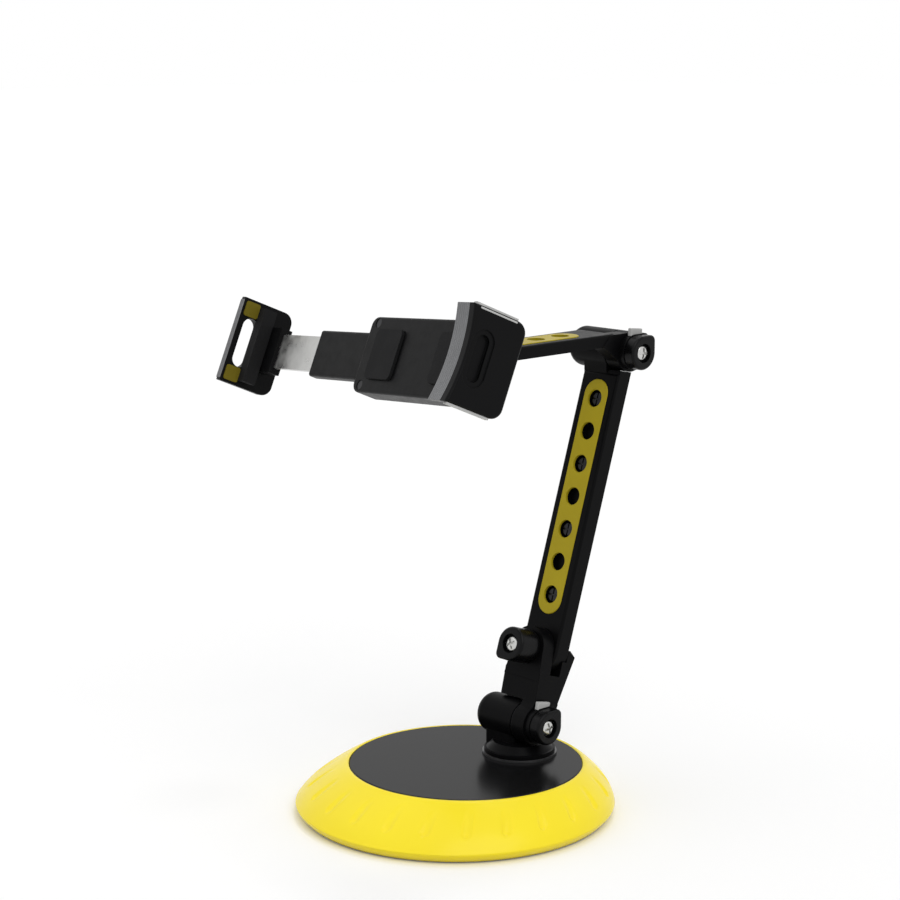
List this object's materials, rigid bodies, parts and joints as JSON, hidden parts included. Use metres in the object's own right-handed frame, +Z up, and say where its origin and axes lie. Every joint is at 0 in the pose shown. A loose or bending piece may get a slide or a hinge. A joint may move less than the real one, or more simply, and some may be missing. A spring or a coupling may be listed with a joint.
{
  "type": "tablet desk stand",
  "caption": "Desk stand: weighted round yellow base, two hinged black arms with perforated yellow strips, and a sliding two-jaw clamp on a ball joint that grips a tablet",
  "frame": {"origin": "Middle of the base's underside, on the table", "axes": "+Z up; the hinge pins lie along X; the clamp faces -Y; +X is the side with the hinges' end caps"},
  "size_m": [0.2491, 0.1967, 0.2711],
  "materials": {
    "yellow_shell": "satin, moulded",
    "grey_plate": "semi-gloss",
    "iron_weight": "as cast",
    "black_cover": "matt",
    "rubber": "matt",
    "washer_plastic": "smooth",
    "steel": "bright",
    "black_steel": "blackened",
    "black_body": "satin, moulded",
    "yellow_strip": "satin",
    "grey_grip": "ribbed",
    "grey_trim": "ribbed",
    "yellow_pad": "matt",
    "seat_plastic": "smooth"
  },
  "bodies": {
    "base": {"base_skirt": "yellow_shell", "top_plate": "grey_plate", "base_weight": "iron_weight", "bottom_cover": "black_cover", "base_screws": "steel", "foot_pad": "rubber", "swivel_washer": "washer_plastic", "wave_washer": "steel"},
    "swivel_foot": {"foot": "black_body", "foot_bolt": "steel", "lower_hinge_bolt": "steel", "lower_hinge_nut": "steel", "lower_friction_washer": "washer_plastic", "lower_hinge_collar": "steel", "lower_hinge_cap": "black_body"},
    "fork": {"lower_fork": "black_body", "pivot_bolt": "steel", "pivot_nut": "steel", "pivot_collar": "steel", "pivot_cap": "black_body"},
    "main_arm": {"lower_arm": "black_body", "lower_arm_strip": "yellow_strip", "lower_strip_screws": "black_steel", "upper_hinge_bolt": "steel", "upper_hinge_nut": "steel", "upper_friction_washer": "washer_plastic", "upper_hinge_collar": "steel", "upper_hinge_cap": "black_body"},
    "reach_arm": {"upper_arm": "black_body", "upper_arm_strip": "yellow_strip", "upper_strip_screws": "black_steel", "ball_stud": "steel"},
    "seat": {"ball_seat": "seat_plastic"},
    "collar": {"socket_collar": "black_body"},
    "clamp": {"housing_rear": "black_body", "housing_cover": "black_body", "housing_screws": "black_steel", "back_pads": "rubber", "right_jaw": "black_body", "right_grip": "grey_grip", "right_jaw_pad": "rubber", "right_jaw_trim": "grey_trim"},
    "extension": {"slider": "black_body"},
    "moving_jaw": {"left_jaw": "black_body", "tongue": "steel", "yellow_pads": "yellow_pad", "left_jaw_pad": "rubber"}
  },
  "joints": [
    {"name": "base_swivel", "type": "hinge", "parent": "base", "child": "swivel_foot", "pos_m": [0.01, 0.03656, 0.0245], "axis": [0, 0, 1], "continuous": true},
    {"name": "lower_tilt", "type": "hinge", "parent": "swivel_foot", "child": "fork", "pos_m": [0.01, 0.03656, 0.042], "axis": [1, 0, 0], "range_deg": [-40, 30]},
    {"name": "arm_swing", "type": "hinge", "parent": "fork", "child": "main_arm", "pos_m": [0.01, 0.04805, 0.07822], "axis": [0, -0.9532, 0.3024], "range_deg": [-30, 30]},
    {"name": "upper_tilt", "type": "hinge", "parent": "main_arm", "child": "reach_arm", "pos_m": [0.01, 0.104, 0.2298], "axis": [1, 0, 0], "range_deg": [-35, 40]},
    {"name": "ball_tilt", "type": "hinge", "parent": "reach_arm", "child": "seat", "pos_m": [0.01, -0.00164, 0.23536], "axis": [1, 0, 0], "range_deg": [-6, 40]},
    {"name": "ball_yaw", "type": "hinge", "parent": "seat", "child": "collar", "pos_m": [0.01, -0.00164, 0.23536], "axis": [0, 0.3971, 0.9178], "range_deg": [-15, 5]},
    {"name": "clamp_spin", "type": "hinge", "parent": "collar", "child": "clamp", "pos_m": [0.01, -0.00164, 0.23536], "axis": [-0.1955, -0.8967, 0.3971], "continuous": true},
    {"name": "slider_travel", "type": "slide", "parent": "clamp", "child": "extension", "axis": [0.9807, -0.1763, 0.0848], "range_m": [-0.003, 0.044]},
    {"name": "jaw_travel", "type": "slide", "parent": "extension", "child": "moving_jaw", "axis": [0.9807, -0.1763, 0.0848], "range_m": [-0.003, 0.044]}
  ],
  "couplings": [
    {"joint": "jaw_travel", "follows": "slider_travel", "ratio": 1}
  ]
}
